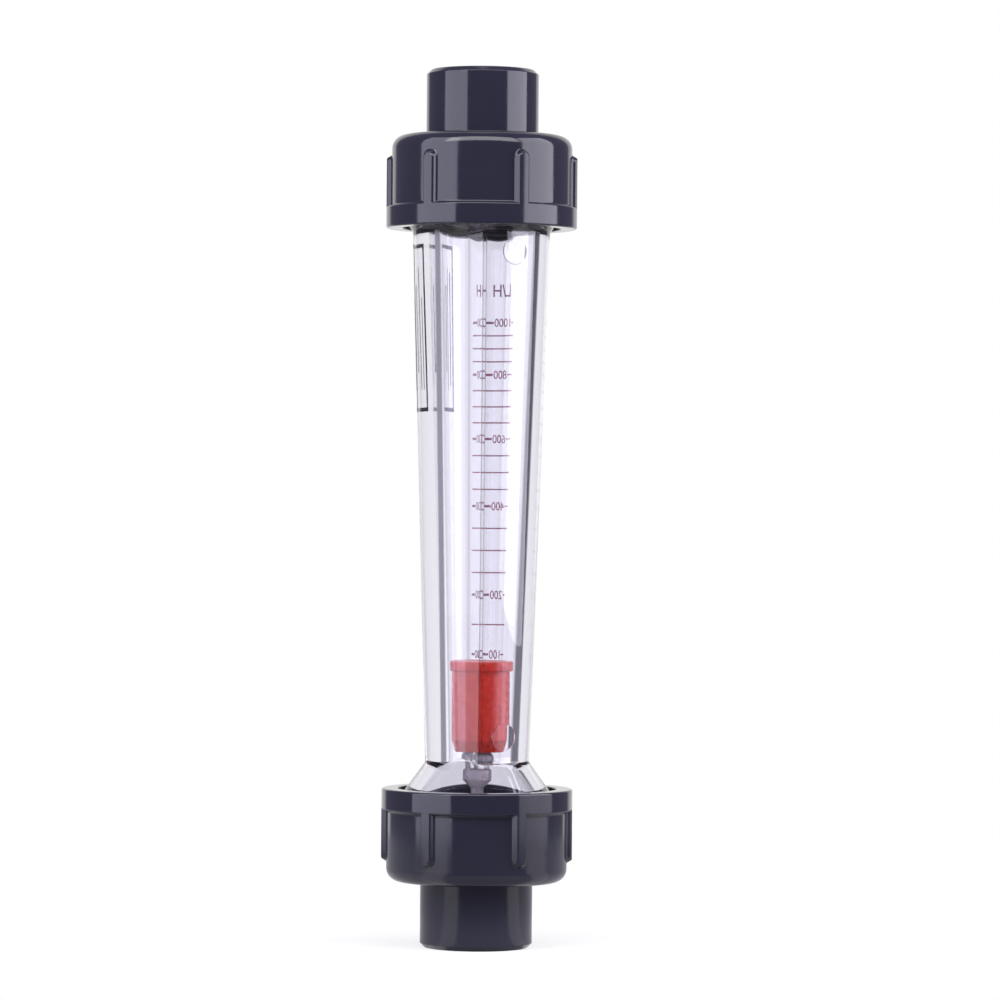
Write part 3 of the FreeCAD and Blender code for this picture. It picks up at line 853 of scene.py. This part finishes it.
def wall_patch(azimuth_from, azimuth_to, low, high):
    """A thin printed patch that follows the round wall."""
    columns = max(2, round(abs(azimuth_to - azimuth_from) / math.radians(2)))
    rows = max(2, round((high - low) / (4 * MM)))
    vertices = []
    for rise in (INK_RISE, INK_RISE + INK_THICKNESS):
        for row in range(rows + 1):
            z = between(low, high, row / rows)
            for column in range(columns + 1):
                azimuth = between(azimuth_from, azimuth_to, column / columns)
                vertices.append(direction(azimuth) * (wall_radius(z) + rise) + Vector((0, 0, z)))
    faces = []
    width, layer = columns + 1, (columns + 1) * (rows + 1)
    for row in range(rows):
        for column in range(columns):
            a = row * width + column
            faces.append((a, a + 1, a + width + 1, a + width))
            faces.append(tuple(layer + corner for corner in (a, a + width, a + width + 1, a + 1)))
    for row in range(rows):
        for a in (row * width, row * width + columns):
            faces.append((a, a + width, a + width + layer, a + layer))
    for column in range(columns):
        for a in (column, rows * width + column):
            faces.append((a, a + 1, a + 1 + layer, a + layer))
    return vertices, faces


def make_label(material):
    middle_radius = wall_radius((LABEL_LOW + LABEL_HIGH) / 2)
    line = LABEL_LINE / middle_radius
    left, right = LABEL_AZIMUTH - LABEL_HALF_ANGLE, LABEL_AZIMUTH + LABEL_HALF_ANGLE
    solids = [
        wall_patch(left, right, LABEL_LOW, LABEL_LOW + LABEL_LINE),
        wall_patch(left, right, LABEL_HIGH - LABEL_LINE, LABEL_HIGH),
        wall_patch(left, left + line, LABEL_LOW + LABEL_LINE, LABEL_HIGH - LABEL_LINE),
        wall_patch(right - line, right, LABEL_LOW + LABEL_LINE, LABEL_HIGH - LABEL_LINE),
    ]
    for place, width, bottom, top in LABEL_BARS:
        azimuth = LABEL_AZIMUTH + place * LABEL_HALF_ANGLE
        half = width * MM / middle_radius / 2
        solids.append(wall_patch(azimuth - half, azimuth + half,
                                 LABEL_LOW + bottom * MM, LABEL_LOW + top * MM))
    label = add_piece("printed_label", *joined(*solids), material, "meter", "seal_rubber")
    recalculate_outside(label)


# ---------------------------------------------------------------- stage, light and camera
CAMERA_AZIMUTH = math.radians(-3.3)
CAMERA_DISTANCE = 1.05
CAMERA_SIDE = 4.7 * MM
CAMERA_HEIGHT = 102 * MM
CAMERA_LEAN = math.radians(0.48)
LENS, SENSOR_WIDTH = 165.6, 36
WHITE = (1, 1, 1)
GREY, SHADE = (0.55, 0.55, 0.6), (0.2, 0.2, 0.24)
DIM, GAP, DARK = (0.12, 0.12, 0.145), (0.22, 0.21, 0.27), (0.06, 0.055, 0.085)
# angle from straight behind the part, in degrees to the right, and the studio's colour there
MIRRORED_WALLS = ((-180, DIM), (-130, DIM), (-95, GAP), (-39, GAP), (-33, WHITE),
                  (33, WHITE), (39, GAP), (95, GAP), (130, DIM), (180, DIM))
REFRACTED_WALLS = ((-180, DIM), (-130, DIM), (-95, GAP), (-80, GAP), (-70, WHITE),
                   (38, WHITE), (44, DARK), (100, DARK), (130, DIM), (180, DIM))
FLOOR_LEVELS = ((-180, SHADE), (-148, SHADE), (-142, WHITE), (-118, WHITE), (-112, GREY), (0, GREY),
                (82, GREY), (88, WHITE), (112, WHITE), (118, SHADE), (180, SHADE))
FLOOR_REACH, FLOOR_SIDES, FLOOR_GAP = 0.36, 96, 0.02 * MM
# the floor keeps the part's shadow up to the first distance and is plain white from the second
SHADOW_REACH, PLAIN_FROM, SHADOW_GLOW = 0.03, 0.12, 0.7
LEFT_LIGHT, RIGHT_LIGHT, TOP_LIGHT = (0.84, 0.84, 1.0), (0.89, 0.87, 1.0), (1, 1, 1)
# turn from the camera in degrees, distance, width, height, height of the centre, radiance and colour
SOFTBOXES = {
    "left_softbox": (-57, 0.9, 0.88, 1.1, 0.55, 3.3, LEFT_LIGHT),
    "right_softbox": (77, 0.9, 0.84, 1.1, 0.55, 4.6, RIGHT_LIGHT),
    "left_skirt": (-57, 0.9, 0.88, 0.2, -0.1, 2.6, LEFT_LIGHT),
    "right_skirt": (77, 0.9, 0.84, 0.2, -0.1, 1.4, RIGHT_LIGHT),
    "top_softbox": (0, 0.7, 1.6, 0.8, 0.9, 5.0, TOP_LIGHT),
}


def make_camera():
    data = bpy.data.cameras.new("camera")
    data.lens = LENS
    data.sensor_width = SENSOR_WIDTH
    camera = bpy.data.objects.new("camera", data)
    bpy.context.scene.collection.objects.link(camera)
    back = direction(CAMERA_AZIMUTH)
    right = Vector((math.cos(CAMERA_AZIMUTH), math.sin(CAMERA_AZIMUTH), 0))
    up = Vector((0, 0, 1)) * math.cos(CAMERA_LEAN) - right * math.sin(CAMERA_LEAN)
    right = up.cross(back)
    turn = Matrix((right, up, back)).transposed().to_4x4()
    level = Vector((math.cos(CAMERA_AZIMUTH), math.sin(CAMERA_AZIMUTH), 0))
    spot = back * CAMERA_DISTANCE + level * CAMERA_SIDE
    camera.matrix_world = Matrix.Translation(spot + Vector((0, 0, CAMERA_HEIGHT))) @ turn
    bpy.context.scene.camera = camera


def make_softbox(name, turn_from_camera, distance, width, height, centre_height, radiance, colour):
    azimuth = CAMERA_AZIMUTH + math.radians(turn_from_camera)
    data = bpy.data.lights.new(name, "AREA")
    data.shape = "RECTANGLE"
    data.size = width
    data.size_y = height
    data.energy = radiance * math.pi * width * height
    data.color = colour
    light = bpy.data.objects.new(name, data)
    bpy.context.scene.collection.objects.link(light)
    back = direction(azimuth)
    right = Vector((math.cos(azimuth), math.sin(azimuth), 0))
    turn = Matrix((right, Vector((0, 0, 1)), back)).transposed().to_4x4()
    light.matrix_world = Matrix.Translation(back * distance + Vector((0, 0, centre_height))) @ turn
    return light


def studio_angle(tree, place):
    """Angle of a direction round the part, as a share of a full turn in which half is straight behind."""
    nodes, links = tree.nodes, tree.links
    behind = -direction(CAMERA_AZIMUTH)
    parts = []
    for axis in (Vector((behind.y, -behind.x, 0)), behind):
        part = nodes.new("ShaderNodeVectorMath")
        part.operation = "DOT_PRODUCT"
        part.inputs[1].default_value = axis
        links.new(place, part.inputs[0])
        parts.append(part.outputs["Value"])
    angle = nodes.new("ShaderNodeMath")
    angle.operation = "ARCTAN2"
    links.new(parts[0], angle.inputs[0])
    links.new(parts[1], angle.inputs[1])
    share = nodes.new("ShaderNodeMapRange")
    share.inputs["From Min"].default_value = -math.pi
    share.inputs["From Max"].default_value = math.pi
    links.new(angle.outputs["Value"], share.inputs["Value"])
    return share.outputs["Result"]


def walls(tree, angle, stops):
    """Grey or coloured levels round the studio, given at angles from straight behind."""
    ramp = tree.nodes.new("ShaderNodeValToRGB")
    ramp.color_ramp.elements.remove(ramp.color_ramp.elements[1])
    for number, (degrees, colour) in enumerate(stops):
        share = (degrees + 180) / 360
        stop = ramp.color_ramp.elements[0] if number == 0 else ramp.color_ramp.elements.new(share)
        stop.position = share
        stop.color = (*colour, 1)
    tree.links.new(angle, ramp.inputs["Fac"])
    return ramp.outputs["Color"]


def pick_colour(tree, ray, otherwise, chosen):
    """One colour for rays of a kind, another for the rest; chosen is a socket or a colour."""
    path = tree.nodes.new("ShaderNodeLightPath")
    pick = tree.nodes.new("ShaderNodeMix")
    pick.data_type = "RGBA"
    tree.links.new(path.outputs[ray], pick.inputs["Factor"])
    tree.links.new(otherwise, pick.inputs["A"])
    if isinstance(chosen, tuple):
        pick.inputs["B"].default_value = (*chosen, 1)
    else:
        tree.links.new(chosen, pick.inputs["B"])
    return pick.outputs["Result"]


def make_world():
    """White to the camera; to the part, a white wall behind, which is wider to light through the tube."""
    world = bpy.data.worlds.new("studio")
    bpy.context.scene.world = world
    world.use_nodes = True
    tree = world.node_tree
    tree.nodes.clear()
    place = tree.nodes.new("ShaderNodeTexCoord")
    angle = studio_angle(tree, place.outputs["Generated"])
    colour = pick_colour(tree, "Is Transmission Ray", walls(tree, angle, MIRRORED_WALLS),
                         walls(tree, angle, REFRACTED_WALLS))
    background = tree.nodes.new("ShaderNodeBackground")
    tree.links.new(pick_colour(tree, "Is Camera Ray", colour, WHITE), background.inputs["Color"])
    output = tree.nodes.new("ShaderNodeOutputWorld")
    tree.links.new(background.outputs["Background"], output.inputs["Surface"])


def make_floor():
    """A white floor that keeps the part's shadow near it and runs into the backdrop further off."""
    material = bpy.data.materials.new("floor")
    material.use_nodes = True
    tree = material.node_tree
    nodes, links = tree.nodes, tree.links
    nodes.clear()
    diffuse = nodes.new("ShaderNodeBsdfDiffuse")
    diffuse.inputs["Color"].default_value = (0.9, 0.9, 0.9, 1)
    place = nodes.new("ShaderNodeTexCoord")
    glow = nodes.new("ShaderNodeEmission")
    angle = studio_angle(tree, place.outputs["Object"])
    seen_by_part = pick_colour(tree, "Is Transmission Ray", walls(tree, angle, FLOOR_LEVELS),
                               walls(tree, angle, REFRACTED_WALLS))
    links.new(pick_colour(tree, "Is Camera Ray", seen_by_part, WHITE), glow.inputs["Color"])
    away = nodes.new("ShaderNodeVectorMath")
    away.operation = "LENGTH"
    links.new(place.outputs["Object"], away.inputs[0])
    share = nodes.new("ShaderNodeMapRange")
    share.interpolation_type = "SMOOTHSTEP"
    share.inputs["From Min"].default_value = SHADOW_REACH
    share.inputs["From Max"].default_value = PLAIN_FROM
    share.inputs["To Min"].default_value = SHADOW_GLOW
    share.inputs["To Max"].default_value = 1.0
    links.new(away.outputs["Value"], share.inputs["Value"])
    mix = nodes.new("ShaderNodeMixShader")
    output = nodes.new("ShaderNodeOutputMaterial")
    links.new(share.outputs["Result"], mix.inputs["Fac"])
    links.new(diffuse.outputs["BSDF"], mix.inputs[1])
    links.new(glow.outputs["Emission"], mix.inputs[2])
    links.new(mix.outputs["Shader"], output.inputs["Surface"])
    mesh = bpy.data.meshes.new("floor")
    rim = [tuple(direction(2 * math.pi * k / FLOOR_SIDES) * FLOOR_REACH) for k in range(FLOOR_SIDES)]
    mesh.from_pydata(rim, [], [tuple(range(FLOOR_SIDES))])
    mesh.materials.append(material)
    floor = bpy.data.objects.new("floor", mesh)
    bpy.context.scene.collection.objects.link(floor)
    floor.location.z = END_LOW - FLOOR_GAP


bpy.context.scene.view_settings.view_transform = "Standard"
make_camera()
make_world()
make_floor()
for softbox, settings in SOFTBOXES.items():
    make_softbox(softbox, *settings)

pipe = pipe_plastic()
make_ends_and_nuts(pipe)
make_tube(clear_plastic())
make_float(float_plastic())
stop = stop_plastic()
make_stop("prong_stop_lower", "lower_stop", LOWER_STOP_LOW, LOWER_STOP_TIP, SEAT_LOW - STOP_CLEARANCE, stop)
make_stop("prong_stop_upper", "upper_stop", UPPER_STOP_TIP, UPPER_STOP_HIGH, SEAT_HIGH - STOP_CLEARANCE, stop,
          upside_down=True)
make_scale(print_ink("scale_ink", (0.52, 0.015, 0.06)))
make_label(print_ink("label_ink", (0.02, 0.02, 0.035)))
rubber = seal_rubber()
for node in ("lower_o_ring", "upper_o_ring"):
    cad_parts[node].material_slots[0].material = rubber
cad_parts["float_weight"].material_slots[0].material = weight_steel()
